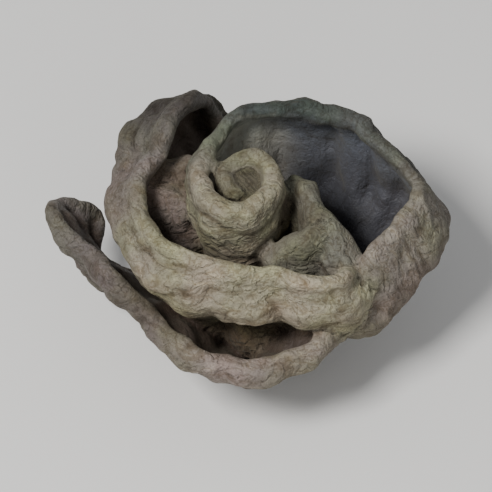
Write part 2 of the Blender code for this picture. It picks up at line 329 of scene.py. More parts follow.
# What is known at each point of a piece, one column each: its side (1 outer, 0 inner), its distance
# below the margin, its distances along the lobe and up it, which piece it is, how its wrinkles lie
# (1 along the lobe, 0 up it), and the colours of its two sides.
SIDE, BELOW, ALONG, UP, KEY, LIE = range(6)
SHEET = [ALONG, UP, KEY]
OUTER = slice(6, 9)
INNER = slice(9, 12)
FIELDS = 12

# What a column has for them: it lies deep below any margin, and its grain runs askew.
COLUMN_DEPTH = 9.0
COLUMN_GRAIN = (1.1, 0.8)

# The looks of each lobe, in the order in which lobes gives them: at some distance along it, how its
# wrinkles lie, and the colours of its outer and its inner side, as they look on a screen. Some inner
# colours are painted light: paler where the wall behind the heart lies in shade.
HEART_OLIVE = (92, 88, 78)
FOOT_BROWN = (89, 79, 67)
SCROLL_LOOKS = [
    (0.0, 1.0, (94, 90, 78), HEART_OLIVE),
    (4.0, 1.0, (96, 92, 80), HEART_OLIVE),
    (7.0, 1.0, (122, 116, 102), HEART_OLIVE),
    # painted light: from here to 19.5 the inner side is paler, where the wall behind the heart lies in
    # shade
    (13.0, 1.0, (122, 116, 102), (138, 134, 119)),
    (16.0, 0.9, (94, 94, 86), (172, 170, 157)),
    (19.5, 0.4, (49, 54, 55), (150, 152, 147)),
    (22.5, 0.3, (49, 54, 55), (80, 85, 95)),
    (29.0, 0.0, (74, 74, 72), (80, 83, 92)),
    (34.0, 0.0, (114, 107, 100), (80, 80, 76)),
]
BAND_LOOKS = [
    # painted light: the inner side's first colours are paler, where the far wall behind the heart lies in
    # shade
    (0.0, 1.0, (62, 58, 55), (96, 87, 83)),
    (9.0, 1.0, (50, 47, 45), (114, 104, 97)),
    (11.5, 1.0, (84, 79, 76), (108, 97, 89)),
    (13.5, 1.0, (99, 93, 90), (104, 93, 85)),
    (16.0, 1.0, (105, 98, 92), (103, 92, 83)),
    (21.0, 1.0, (130, 123, 108), (93, 82, 74)),
    (25.0, 1.0, (135, 128, 112), (93, 82, 74)),
]
TONGUE_LOOKS = [(0.0, 1.0, (96, 94, 86), (80, 77, 72))]
SADDLE_LOOKS = [(0.0, 0.5, (101, 91, 85), (95, 85, 78))]
LIP_LOOKS = [
    (0.0, 1.0, (95, 89, 88), (80, 70, 64)),
    (9.0, 1.0, (86, 80, 79), (80, 70, 64)),
    (15.0, 1.0, (80, 72, 69), (74, 64, 58)),
    (19.0, 1.0, (116, 107, 101), (66, 57, 52)),
]
SILL_LOOKS = [(0.0, 0.5, (98, 94, 85), (84, 79, 72))]
TUCK_LOOKS = SADDLE_LOOKS
LOOKS = [SCROLL_LOOKS, BAND_LOOKS, TONGUE_LOOKS, SADDLE_LOOKS, LIP_LOOKS, SILL_LOOKS, TUCK_LOOKS]

# On which side of its rows each of them has its outside, 1 left and -1 right.
OUTSIDES = (1, -1, -1, -1, -1, -1, -1)

# The places of a Mix node's sockets for colours, two that take them and one that gives them.
MIX_A = 6
MIX_B = 7
MIX_RESULT = 2


def between(stations, at):
    """Stations read at the numbers in at, on a smooth curve that passes through each station."""
    stations = np.asarray(stations, float)
    slopes = np.gradient(stations, axis=0)
    i = np.clip(np.asarray(at).astype(int), 0, len(stations) - 2)
    t = (at - i).reshape(-1, *[1] * (stations.ndim - 1))
    return (
        (2 * t**3 - 3 * t**2 + 1) * stations[i]
        + (t**3 - 2 * t**2 + t) * slopes[i]
        + (3 * t**2 - 2 * t**3) * stations[i + 1]
        + (t**3 - t**2) * slopes[i + 1]
    )


def evenly(rows, spacing):
    """Rows on a smooth curve through the given ones, evenly spaced, and the distance along it."""
    fine = between(rows, np.linspace(0, len(rows) - 1, STEPS_PER_ROW * len(rows)))
    gone = np.linalg.norm(np.diff(fine[:, :3], axis=0), axis=1)
    gone = np.concatenate([[0.0], np.cumsum(gone)])
    at = np.linspace(0.0, gone[-1], max(FEWEST_COLUMNS, round(gone[-1] / spacing)))
    return np.stack([np.interp(at, gone, column) for column in fine.T], axis=1), at


def outward(line):
    """Unit normals of a line, level with the ground, on its left-hand side."""
    along = np.gradient(line[:, :2], axis=0)
    along /= np.linalg.norm(along, axis=1)[:, None]
    return np.stack([-along[:, 1], along[:, 0], np.zeros(len(line))], axis=1)


def normals(points):
    """Unit normals of a sheet."""
    found = np.cross(np.gradient(points, axis=1), np.gradient(points, axis=0))
    return found / (np.linalg.norm(found, axis=2)[..., None] + 1e-12)


def scroll_rows():
    """The heart's turns, and then the cheek that they open into."""
    rows = []
    low, high = HEART_HEIGHTS
    for k in range(HEART_STATIONS):
        t = k / HEART_STATIONS
        angle = HEART_ENDS_AT + (1 - t) * HEART_TURNS * math.tau
        lean = HEART_LEAN * t * max(0.0, -math.sin(angle))
        bulge = HEART_BULGE * max(0.0, math.cos(angle - HEART_BULGE_AT))
        radius = HEART_START + (HEART_END - HEART_START) * t - lean + bulge
        x = HEART_CENTRE[0] + radius * math.cos(angle)
        y = HEART_CENTRE[1] + radius * math.sin(angle)
        stands = HEART_SHOULDER_OUT[0] + HEART_SHOULDER_OUT[1] * t + lean
        rows.append((x, y, low + (high - low) * t, stands, HEART_SHOULDER))
    return rows + CHEEK


def rounding(distance, drop, width):
    """How far the margin falls near one end of a lobe, as a share of the lobe's height."""
    near = np.clip(1.0 - distance / width, 0.0, 1.0)
    return drop * (1.0 - np.sqrt(1.0 - near**2))


def pattern(along, up, kind, seed, slant=0.0):
    """The noise of one kind of pleat at a distance along a lobe and a share of the way up it."""
    return noise.noise(Vector((along * kind[0] + up * slant, up * kind[1], kind[2] + seed)))


def lobe(
    rows, spacing, n_up, side, belly, wander, base, pleat, creases, seed,
    calm=0.0, end=(0.0, 1.0), groove=0.0,
):
    """(middle surface, distance along it) of a lobe; the surface is n_up by its length by 3, foot first.

    side says on which side of the rows its outside is. belly is how far out the belly stands from the
    shoulder and its share of the shoulder's height, and wander how far it is dented in. base is the share
    of the reach and the height where it leaves the core. pleat is how deep its soft pleats are, creases
    how deep the sharp ones low down are, and seed chooses the pattern of both; calm is the length at its
    start that has hardly any, and no belly. end is the drop and width of the rounding at its far end, and
    groove the depth of the groove below its margin.
    """
    line, gone = evenly(rows, spacing)
    margin = line[:, :3]
    out = outward(margin) * side
    shoulder = margin + out * line[:, 3:4]
    shoulder[:, 2] -= line[:, 4]
    centre = np.array([*FOOT_CENTRE, 0.0])
    reach = shoulder - centre
    reach[:, 2] = 0.0
    dents = np.array([noise.noise(Vector((s * DENTS_FINENESS, DENTS_PLACE, seed[0]))) for s in gone])
    waking = np.clip((gone - calm) / DENTS_SET_IN_OVER, 0.0, 1.0)
    stands = belly[0] * (waking if calm else 1.0) - wander * waking * np.maximum(dents, 0.0)
    middle = shoulder + out * stands[:, None]
    middle[:, 2] = shoulder[:, 2] * belly[1]
    leaving = centre + reach * base[0]
    leaving[:, 2] = base[1]
    root = centre + reach * ROOT_REACH
    root[:, 2] = base[1] - ROOT_DROP
    stations = np.stack([root, leaving, middle, shoulder, margin])
    top = 1.0 - rounding(gone[-1] - gone, *end)
    up = np.sin(np.linspace(0.0, math.pi / 2, n_up))
    last = len(stations) - 1
    points = np.stack([between(stations[:, c], up * top[c] * last) for c in range(len(line))], axis=1)
    depth = np.empty(points.shape[:2])
    for r, v in enumerate(up):
        low = min(1.0, CREASES_RISE * v) * min(1.0, max(0.0, (CREASES_TOP - v) / CREASES_FADE))
        for c, s in enumerate(gone):
            fold = pattern(s, v, FOLDS, seed[0])
            ruffle = pattern(s, v, RUFFLES, seed[1]) * max(0.0, v - RUFFLES_FROM)
            sharp = abs(pattern(s, v, CREASES, seed[0], CREASES_SLANT))
            soft = pleat * (FOLD_DEPTH * fold + RUFFLE_DEPTH * ruffle)
            depth[r, c] = soft + creases * low * (CREASE_DEPTH * sharp - CREASE_LEVEL)
    depth *= np.where(gone < calm, CALM_PLEATS, 1.0)
    normal = normals(points)
    normal *= np.sign(np.einsum("rck,ck->", normal, out))
    points += normal * depth[..., None]
    sunk = groove * np.exp(-(((up - GROOVE_AT) / GROOVE_WIDTH) ** 2))
    return points - out[None] * sunk[:, None, None], gone


def lobes(spacing, n_up):
    """Each lobe's middle surface, the thickness of its flesh along its length, and the distance along."""
    scroll, gone = lobe(
        scroll_rows(), spacing, n_up, side=1, belly=(-1.3, 0.58), wander=3.0, base=(0.42, 3.0),
        pleat=0.4, creases=0.55, seed=(0.28, -0.15), calm=12.0, end=(0.2, 3.0),
    )
    band, band_gone = lobe(
        BAND, spacing, n_up, side=-1, belly=(-1.7, 0.6), wander=3.0, base=(0.42, 2.5),
        pleat=0.32, creases=0.4, seed=(1.2, 7.0), groove=0.8,
    )
    tongue, tongue_gone = lobe(
        TONGUE, spacing, n_up, side=-1, belly=(1.0, 0.7), wander=0.0, base=(0.6, 6.0),
        pleat=0.2, creases=0.1, seed=(4.2, 2.6),
    )
    saddle, saddle_gone = lobe(
        SADDLE, spacing, n_up, side=-1, belly=(0.7, 0.7), wander=0.0, base=(0.6, 5.0),
        pleat=0.15, creases=0.1, seed=(6.4, 1.7),
    )
    lip, lip_gone = lobe(
        LIP, spacing, n_up, side=-1, belly=(-2.3, 0.66), wander=1.8, base=(0.42, 2.3),
        pleat=0.2, creases=0.3, seed=(-12.0, 3.9),
    )
    sill, sill_gone = lobe(
        SILL, spacing, n_up, side=-1, belly=(0.4, 0.7), wander=0.0, base=(0.6, 6.0),
        pleat=0.1, creases=0.1, seed=(8.3, 5.1),
    )
    tuck, tuck_gone = lobe(
        TUCK, spacing, n_up, side=-1, belly=(0.4, 0.7), wander=0.0, base=(0.6, 5.0),
        pleat=0.15, creases=0.1, seed=(2.7, 9.4),
    )
    easing = np.clip((gone - EASING_FROM) / EASING_OVER, 0.0, 1.0)
    return [
        (scroll, HEART_FLESH + (FLESH - HEART_FLESH) * easing, gone),
        (band, np.full(len(band_gone), FLESH), band_gone),
        (tongue, np.linspace(*TONGUE_FLESH, len(tongue_gone)), tongue_gone),
        (saddle, np.full(len(saddle_gone), SADDLE_FLESH), saddle_gone),
        (lip, np.full(len(lip_gone), FLESH), lip_gone),
        (sill, np.full(len(sill_gone), SILL_FLESH), sill_gone),
        (tuck, np.full(len(tuck_gone), TUCK_FLESH), tuck_gone),
    ]


def crumpled(points):
    """The points moved by the fields that bend the whole ear and crumple it."""
    moved = np.empty_like(points)
    out = moved.reshape(-1, 3)
    for k, point in enumerate(points.reshape(-1, 3)):
        start = Vector(point)
        end = start
        for fineness, place, depth in CRUMPLES:
            end = end + noise.noise_vector(start * fineness + Vector(place)) * depth
        out[k] = end
    return moved


def linear(red, green, blue):
    """A colour given as it looks on a screen, 0 to 255, as the shader takes it."""
    return np.array([((c / 255 + 0.055) / 1.055) ** 2.4 for c in (red, green, blue)])


def thick(points, flesh, gone, looks, key):
    """(vertices, faces, fields) of a closed sheet about the points, with round edges.

    flesh is its thickness along its length, gone the distance along it, and looks what its two sides look
    like along it. key is a number of its own and the side of its rows on which its outside lies.
    """
    steps = np.linalg.norm(np.diff(points, axis=0, append=points[-1:]), axis=2)
    below = steps[::-1].cumsum(axis=0)[::-1]
    along = np.linalg.norm(np.diff(points, axis=1, prepend=points[:, :1]), axis=2).cumsum(axis=1)
    inside = np.minimum(below, np.minimum(along, along[:, -1:] - along))
    number, outside = key
    places = [Vector((SWELL_FINENESS * s, SWELL_APART * number, SWELL_PLACE)) for s in gone]
    varied = np.array([noise.noise(place) for place in places])
    swelling = np.clip(SWELL_REACH - below / SWELL_REACH, 0.0, 1.0)
    swell = 1.0 + (MARGIN_SWELL + SWELL_VARIES * varied) * swelling
    half = flesh[None] * swell / 2
    half = half * np.sqrt(1.0 - np.clip(1.0 - inside / half, 0.0, 1.0) ** 2)
    normal = normals(points)
    half = normal * half[..., None]
    rows, columns = points.shape[:2]
    vertices = np.concatenate([(points + half).reshape(-1, 3), (points - half).reshape(-1, 3)])
    n = rows * columns
    at = np.arange(n).reshape(rows, columns)
    a, b, c, d = at[:-1, :-1], at[:-1, 1:], at[1:, 1:], at[1:, :-1]
    front = np.stack([a, b, c, d], axis=-1).reshape(-1, 4)
    back = np.stack([a, d, c, b], axis=-1).reshape(-1, 4) + n
    edge = np.concatenate([at[0, :-1], at[:-1, -1], at[-1, :0:-1], at[:0:-1, 0]])
    following = np.roll(edge, -1)
    rim = np.stack([following, edge, edge + n, following + n], axis=-1)
    faces = np.concatenate([front, back, rim])
    level_out = outward(points[-1]) * outside
    first_is_outer = np.einsum("rck,ck->", normal[rows // 2:], level_out) > 0
    fields = np.zeros((2, rows, columns, FIELDS))
    fields[0, ..., SIDE] = 1.0 if first_is_outer else 0.0
    fields[1, ..., SIDE] = 0.0 if first_is_outer else 1.0
    fields[..., BELOW] = inside
    fields[..., ALONG] = gone
    fields[..., UP] = below[:1] - below
    fields[..., KEY] = number
    fields[..., LIE:] = looks[None, None]
    return vertices, faces, fields.reshape(-1, FIELDS)


def turned(radii, centre, flutes, shade, key):
    """(vertices, faces, fields) of a fluted column of those heights and radii."""
    n = COLUMN_SIDES
    profile = between(np.array(radii), np.linspace(0, len(radii) - 1, COLUMN_RINGS))
    angles = np.arange(n) / n * math.tau
    rings = []
    for z, radius in profile:
        around = [(RIBS_ROUND * math.cos(a), RIBS_ROUND * math.sin(a)) for a in angles]
        ribs = [noise.noise(Vector((x, y, RIBS_UP * z + RIBS_PLACE))) for x, y in around]
        fluted = radius * (1.0 + flutes * np.array(ribs))
        x = centre[0] + fluted * np.cos(angles)
        y = centre[1] + fluted * np.sin(angles)
        rings.append(np.stack([x, y, np.full(n, z)], axis=1))
    faces = []
    for k in range(len(rings) - 1):
        for j in range(n):
            a, b = k * n + j, k * n + (j + 1) % n
            faces.append((a, b, b + n, a + n))
    faces.append(tuple(range(n - 1, -1, -1)))
    faces.append(tuple(range((len(rings) - 1) * n, len(rings) * n)))
    rings = np.stack(rings)
    fields = np.zeros((len(rings), n, FIELDS))
    fields[..., SIDE] = 1.0
    fields[..., BELOW] = COLUMN_DEPTH
    fields[..., ALONG] = COLUMN_GRAIN[0] * rings[..., 0] + COLUMN_GRAIN[1] * rings[..., 1]
    fields[..., UP] = profile[:, :1]
    fields[..., KEY] = key
    fields[..., OUTER] = shade
    fields[..., INNER] = shade
    return rings.reshape(-1, 3), faces, fields.reshape(-1, FIELDS)


def looks_along(gone, stops):
    """The looks at each distance along a lobe, from stops of distance, lie, outer and inner colour."""
    at = [stop[0] for stop in stops]
    columns = np.array([(stop[1], *linear(*stop[2]), *linear(*stop[3])) for stop in stops])
    return np.stack([np.interp(gone, at, column) for column in columns.T], axis=1)


def pieces_of_the_ear():
    """(vertices, faces, fields) of each sheet and column that are fused into the ear."""
    noise.seed_set(BEND_SEED)
    made = []
    for points, flesh, gone in lobes(SPACING, ROWS_UP):
        k = len(made)
        made.append(thick(crumpled(points), flesh, gone, looks_along(gone, LOOKS[k]), (k, OUTSIDES[k])))
    made.append(turned(FOOT_RADII, FOOT_CENTRE, FOOT_FLUTES, linear(*FOOT_BROWN), len(made)))
    made.append(turned(HEART_RADII, HEART_MIDDLE, 0.0, linear(*HEART_OLIVE), len(made)))
    return made


def new_object(name, vertices, faces):
    mesh = bpy.data.meshes.new(name)
    mesh.from_pydata([tuple(v) for v in vertices], [], [tuple(int(i) for i in f) for f in faces])
    obj = bpy.data.objects.new(name, mesh)
    bpy.context.scene.collection.objects.link(obj)
    return obj


def settle(obj):
    """Replaces the object's mesh by what its modifiers make of it."""
    graph = bpy.context.evaluated_depsgraph_get()
    obj.data = bpy.data.meshes.new_from_object(obj.evaluated_get(graph))
    obj.modifiers.clear()


def largest_shell(obj):
    """Drops every shell of the object's mesh but the one with the most vertices."""
    work = bmesh.new()
    work.from_mesh(obj.data)
    left = set(work.verts)
    shells = []
    while left:
        shell = [left.pop()]
        for vertex in shell:
            for edge in vertex.link_edges:
                other = edge.other_vert(vertex)
                if other in left:
                    left.remove(other)
                    shell.append(other)
        shells.append(shell)
    shells.sort(key=len)
    for shell in shells[:-1]:
        bmesh.ops.delete(work, geom=shell, context="VERTS")
    work.to_mesh(obj.data)
    work.free()


def fused(made):
    """One skin about all the pieces."""
    vertices, faces = [], []
    for points, quads, _ in made:
        faces += [tuple(int(i) + len(vertices) for i in q) for q in quads]
        vertices += list(points)
    ear = new_object("ear", vertices, faces)
    fuse = ear.modifiers.new("fuse", "REMESH")
    fuse.mode = "VOXEL"
    fuse.voxel_size = FUSE_VOXEL
    soften = ear.modifiers.new("soften", "SMOOTH")
    soften.factor = SOFTENING
    soften.iterations = SOFTENING_ROUNDS
    settle(ear)
    largest_shell(ear)
    return ear


def vertex_array(mesh, what):
    values = np.empty(len(mesh.vertices) * 3)
    mesh.vertices.foreach_get(what, values)
    return values.reshape(-1, 3)


def edge_array(mesh):
    edges = np.empty(len(mesh.edges) * 2, int)
    mesh.edges.foreach_get("vertices", edges)
    return edges.reshape(-1, 2)


def smoothed(values, edges, rounds):
    """Each vertex's values, averaged with its neighbours' a number of times."""
    both = np.concatenate([edges, edges[:, ::-1]])
    count = np.bincount(both[:, 0], minlength=len(values))
    flat = values.reshape(len(values), -1)
    for _ in range(rounds):
        sums = []
        for column in flat.T:
            sums.append(np.bincount(both[:, 0], weights=column[both[:, 1]], minlength=len(values)))
        flat = (flat + np.stack(sums, axis=1) / np.maximum(count, 1)[:, None]) / 2
    return flat.reshape(values.shape)


def fields_at(points, made):
    """The pieces' fields read at the points of the fused skin."""
    samples = np.concatenate([m[0] for m in made])
    fields = np.concatenate([m[2] for m in made])
    tree = KDTree(len(samples))
    for k, p in enumerate(samples):
        tree.insert(p, k)
    tree.balance()
    read = np.empty((len(points), FIELDS))
    for k, p in enumerate(points):
        near = tree.find_n(p, NEAREST)
        found = fields[np.array([n[1] for n in near])]
        distance = np.array([n[2] for n in near])
        weight = np.exp(-0.5 * (distance / (NEAR * SPACING)) ** 2) + LEAST_WEIGHT
        read[k] = (found * weight[:, None]).sum(axis=0) / weight.sum()
        same = weight * (found[:, KEY] == found[0, KEY])
        read[k, SHEET] = (found[:, SHEET] * same[:, None]).sum(axis=0) / same.sum()
    return read


def openness(points, normal, mesh):
    """How much of the sky each point of the skin sees, from 0 in a crevice to 1 in the open."""
    tree = BVHTree.FromPolygons([Vector(p) for p in points], [tuple(p.vertices) for p in mesh.polygons])
    rays = []
    for k in range(AO_RAYS):
        z = 1.0 - (k + 0.5) / AO_RAYS
        level = math.sqrt(1 - z * z)
        angle = k * GOLDEN_ANGLE
        rays.append(Vector((level * math.cos(angle), level * math.sin(angle), z)))
    seen = np.zeros(len(points))
    for k in range(len(points)):
        n = Vector(normal[k])
        start = Vector(points[k]) + n * AO_LIFT
        turn = n.to_track_quat("Z", "Y")
        for ray in rays:
            hit = tree.ray_cast(start, turn @ ray, AO_REACH)
            seen[k] += 1.0 if hit[0] is None else hit[3] / AO_REACH
    return seen / AO_RAYS


def crease(at):
    """A wrinkled height: lowest along sharp creases, and well above 0 between them."""
    return 2.0 * abs(noise.noise(at)) - CREASE_FLOOR


def wrinkles(across, along, lying):
    """A height that lies in long wrinkles of two sizes."""
    height = 0.0
    for fine_across, fine_along, place, depth in WRINKLES:
        height += depth * crease(Vector((across * fine_across, along * fine_along, lying + place)))
    return height


def relief_at(point, fields):
    """How far a point of the skin stands out, in millimetres: wrinkles outside, soft veins inside."""
    side, below, along, up, key, lie = fields[:OUTER.start]
    p = Vector(point)
    bend = noise.noise_vector(p * WARP_FINENESS + Vector(WARP_PLACE))
    s = along + WRINKLES_APART * key + bend.x * WARP
    h = up + bend.y * WARP
    crackle = crease(p * CRACKLE_FINENESS + bend * CRACKLE_WARP)
    lumps = noise.noise(p * LUMPS_FINENESS)
    outer = lie * wrinkles(h, s, LYING_ALONG) + (1.0 - lie) * wrinkles(s, h, LYING_UP)
    outer = outer + CRACKLE * crackle + OUTER_LUMPS * lumps
    vein = -crease(Vector((s * VEINS[0], h * VEINS[1], VEINS[2])))
    inner = VEIN_DEPTH * vein + INNER_CRACKLE * CRACKLE * crackle + INNER_LUMPS * lumps
    rim = RIM_DEPTH * noise.noise(Vector((s * RIM_FINENESS, RIM_PLACE, 0.0))) + RIM_LUMPS * lumps
    near_rim = math.exp(-below / RIM_WIDTH)
    return (side * outer + (1.0 - side) * inner) * (1.0 - near_rim) + rim * near_rim


def add_layer(mesh, name, kind, values):
    """Stores one value for each point of the mesh, for the materials to read."""
    part = {"FLOAT": "value", "FLOAT_VECTOR": "vector", "FLOAT_COLOR": "color"}[kind]
    layer = mesh.attributes.new(name, kind, "POINT")
    layer.data.foreach_set(part, values.ravel())


def make_ear():
    """The ear: one fused skin with its relief, its layers and its flat cut."""
    made = pieces_of_the_ear()
    ear = fused(made)
    mesh = ear.data
    points = vertex_array(mesh, "co")
    normal = vertex_array(mesh, "normal")
    edges = edge_array(mesh)
    read = fields_at(points, made)
    blended = [SIDE, BELOW, *range(LIE, FIELDS)]
    read[:, blended] = smoothed(read[:, blended], edges, FIELD_ROUNDS)
    relief = np.array([relief_at(p, f) for p, f in zip(points, read)])
    points = points + normal * relief[:, None]
    seen = smoothed(openness(points, normal, mesh), edges, OPENNESS_ROUNDS)
    mesh.vertices.foreach_set("co", (points * MM).ravel())
    opaque = np.ones((len(points), 1))
    sheet = np.stack([read[:, ALONG], read[:, UP], read[:, KEY] * GRAINS_APART], axis=1)
    add_layer(mesh, "outer", "FLOAT", read[:, SIDE])
    add_layer(mesh, "below_margin", "FLOAT", read[:, BELOW])
    # how open each point is, which the flesh darkens as painted shade in its crevices
    add_layer(mesh, "open", "FLOAT", seen)
    add_layer(mesh, "lie", "FLOAT", read[:, LIE])
    # the relief, from which the flesh paints shade in its hollows and highlights on its ridges
    add_layer(mesh, "relief", "FLOAT", relief - smoothed(relief, edges, RELIEF_ROUNDS))
    add_layer(mesh, "sheet", "FLOAT_VECTOR", sheet)
    add_layer(mesh, "outer_colour", "FLOAT_COLOR", np.hstack([read[:, OUTER], opaque]))
    add_layer(mesh, "inner_colour", "FLOAT_COLOR", np.hstack([read[:, INNER], opaque]))
    mesh.update()
    cut_flat(ear)
    return ear


def cut_flat(ear):
    """Cuts the foot off at the floor; the cut's faces get the second material."""
    work = bmesh.new()
    work.from_mesh(ear.data)
    everything = work.verts[:] + work.edges[:] + work.faces[:]
    bmesh.ops.bisect_plane(
        work, geom=everything, plane_co=(0, 0, 0), plane_no=(0, 0, 1), clear_inner=True
    )
    for face in work.faces:
        face.smooth = True
    border = [e for e in work.edges if e.is_boundary]
    capped = bmesh.ops.holes_fill(work, edges=border, sides=0)["faces"]
    for face in capped:
        face.material_index = 1
        face.smooth = False
    bmesh.ops.triangulate(work, faces=capped)
    work.to_mesh(ear.data)
    work.free()


class Graph:
    """A short way to write a material's nodes."""

    def __init__(self, name):
        self.material = bpy.data.materials.new(name)
        self.material.use_nodes = True
        self.nodes = self.material.node_tree.nodes
        self.links = self.material.node_tree.links
        self.surface = self.nodes["Principled BSDF"]

    def feed(self, socket, value):
        if isinstance(value, bpy.types.NodeSocket):
            self.links.new(value, socket)
        else:
            socket.default_value = value

    def attribute(self, name, output="Fac"):
        node = self.nodes.new("ShaderNodeAttribute")
        node.attribute_name = name
        return node.outputs[output]

    def maths(self, operation, a, b=0.0, clamp=False):
        node = self.nodes.new("ShaderNodeMath")
        node.operation = operation
        node.use_clamp = clamp
        self.feed(node.inputs[0], a)
        self.feed(node.inputs[1], b)
        return node.outputs[0]

    def ramp(self, value, low, high, to_low=0.0, to_high=1.0):
        """to_low where the value is low, to_high where it is high, and smooth between them."""
        node = self.nodes.new("ShaderNodeMapRange")
        node.interpolation_type = "SMOOTHSTEP"
        for name, number in (
            ("Value", value),
            ("From Min", low),
            ("From Max", high),
            ("To Min", to_low),
            ("To Max", to_high),
        ):
            self.feed(node.inputs[name], number)
        return node.outputs[0]

    def vector_maths(self, operation, vector, by):
        node = self.nodes.new("ShaderNodeVectorMath")
        node.operation = operation
        self.feed(node.inputs[0], vector)
        node.inputs[1].default_value = by
        return node.outputs[0]

    def scaled(self, vector, scale):
        return self.vector_maths("MULTIPLY", vector, scale)

    def millimetres(self):
        """Where on the object the surface is, in millimetres."""
        place = self.nodes.new("ShaderNodeTexCoord").outputs["Object"]
        return self.scaled(place, (1 / MM, 1 / MM, 1 / MM))

    def warped(self, vector, scale, amount):
        """The vector, moved about by a slow noise."""
        node = self.nodes.new("ShaderNodeTexNoise")
        self.feed(node.inputs["Vector"], vector)
        node.inputs["Scale"].default_value = scale
        moved = self.nodes.new("ShaderNodeVectorMath")
        moved.operation = "MULTIPLY_ADD"
        self.feed(moved.inputs[0], node.outputs["Color"])
        moved.inputs[1].default_value = (amount, amount, amount)
        self.feed(moved.inputs[2], vector)
        return moved.outputs[0]

    def grain(self, vector, scale=1.0, detail=3.0, roughness=0.55):
        node = self.nodes.new("ShaderNodeTexNoise")
        self.feed(node.inputs["Vector"], vector)
        node.inputs["Scale"].default_value = scale
        node.inputs["Detail"].default_value = detail
        node.inputs["Roughness"].default_value = roughness
        return node.outputs["Fac"]

    def mix(self, share, a, b, blend="MIX"):
        node = self.nodes.new("ShaderNodeMix")
        node.data_type = "RGBA"
        node.blend_type = blend
        self.feed(node.inputs["Factor"], share)
        self.feed(node.inputs[MIX_A], a)
        self.feed(node.inputs[MIX_B], b)
        return node.outputs[MIX_RESULT]

    def aside(self, vector, detail=1.5):
        """0 along thin wandering lines, and more the farther from them."""
        height = self.grain(vector, detail=detail, roughness=0.5)
        return self.maths("ABSOLUTE", self.maths("SUBTRACT", height, 0.5))

    def tinted(self, base, tints):
        """The base colour, multiplied by each tint's factors where the tint's share is 1."""
        for share, factors in tints:
            base = self.mix(share, base, (*factors, 1.0), "MULTIPLY")
        return base

    def blend(self, share, a, b):
        """The number a where share is 0, and b where it is 1."""
        return self.maths("ADD", a, self.maths("MULTIPLY", share, self.maths("SUBTRACT", b, a)))

    def bump(self, height, strength, distance, normal=None):
        node = self.nodes.new("ShaderNodeBump")
        node.inputs["Strength"].default_value = strength
        node.inputs["Distance"].default_value = distance
        self.feed(node.inputs["Height"], height)
        if normal is not None:
            self.feed(node.inputs["Normal"], normal)
        return node.outputs[0]


def colour(red, green, blue):
    return (*linear(red, green, blue), 1.0)


